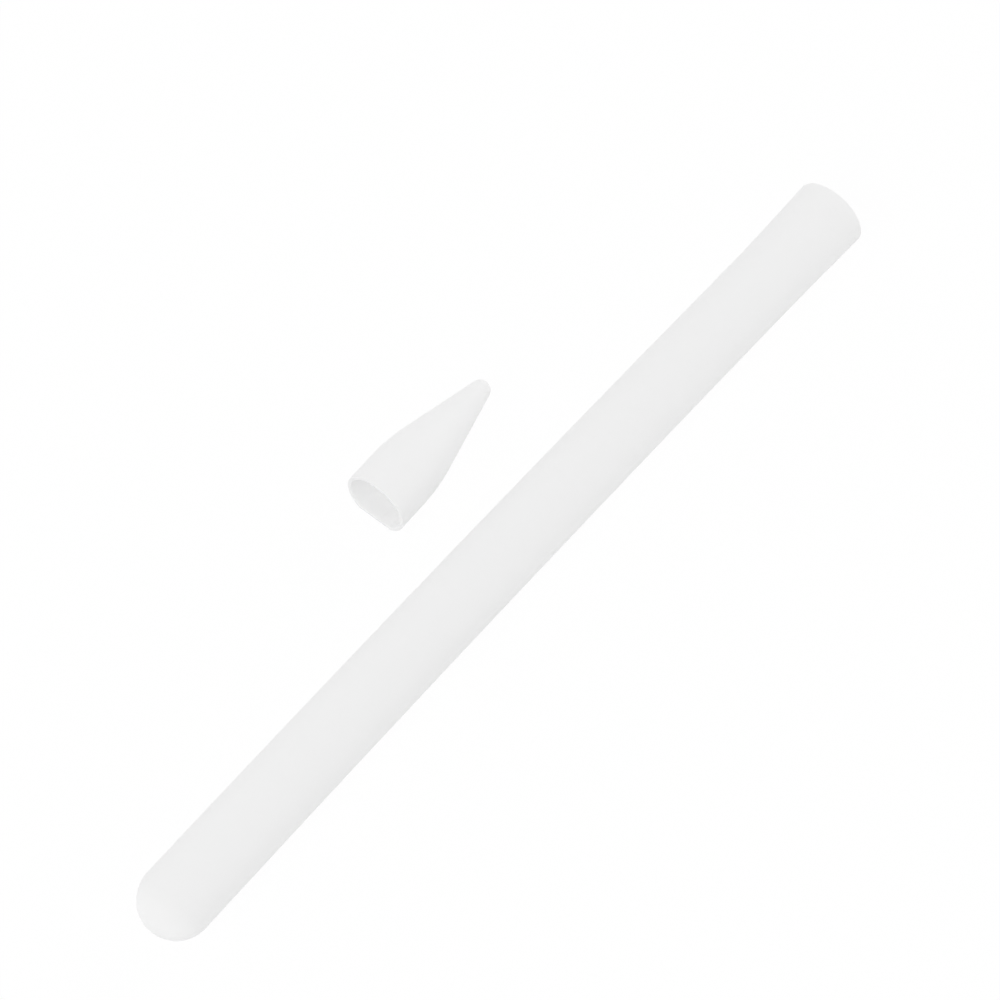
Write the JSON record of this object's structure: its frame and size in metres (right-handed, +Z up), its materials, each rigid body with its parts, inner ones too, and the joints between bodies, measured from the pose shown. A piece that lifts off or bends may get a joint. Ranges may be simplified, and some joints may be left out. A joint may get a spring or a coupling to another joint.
{
  "type": "stylus cap",
  "caption": "White silicone stylus cover: a long flat-sided sleeve with a domed end and flared mouth, and a tapered nib cap lying beside it.",
  "frame": {"origin": "on the sleeve's flat underside, half way along the sleeve", "axes": "+X along the sleeve from its closed end to its mouth, +Y towards the nib cap, +Z up from the table that both pieces lie on"},
  "size_m": [0.144, 0.0295, 0.0099],
  "materials": {
    "sleeve_silicone": "matte white silicone",
    "cap_silicone": "matte white silicone"
  },
  "bodies": {
    "sleeve": {"sleeve": "sleeve_silicone"},
    "nib_cap": {"nib_cap": "cap_silicone"}
  },
  "joints": [
    {"name": "cap_slide", "type": "slide", "parent": "sleeve", "child": "nib_cap", "axis": [0.9994, 0.0349, 0], "range_m": [0, 0.08]}
  ]
}
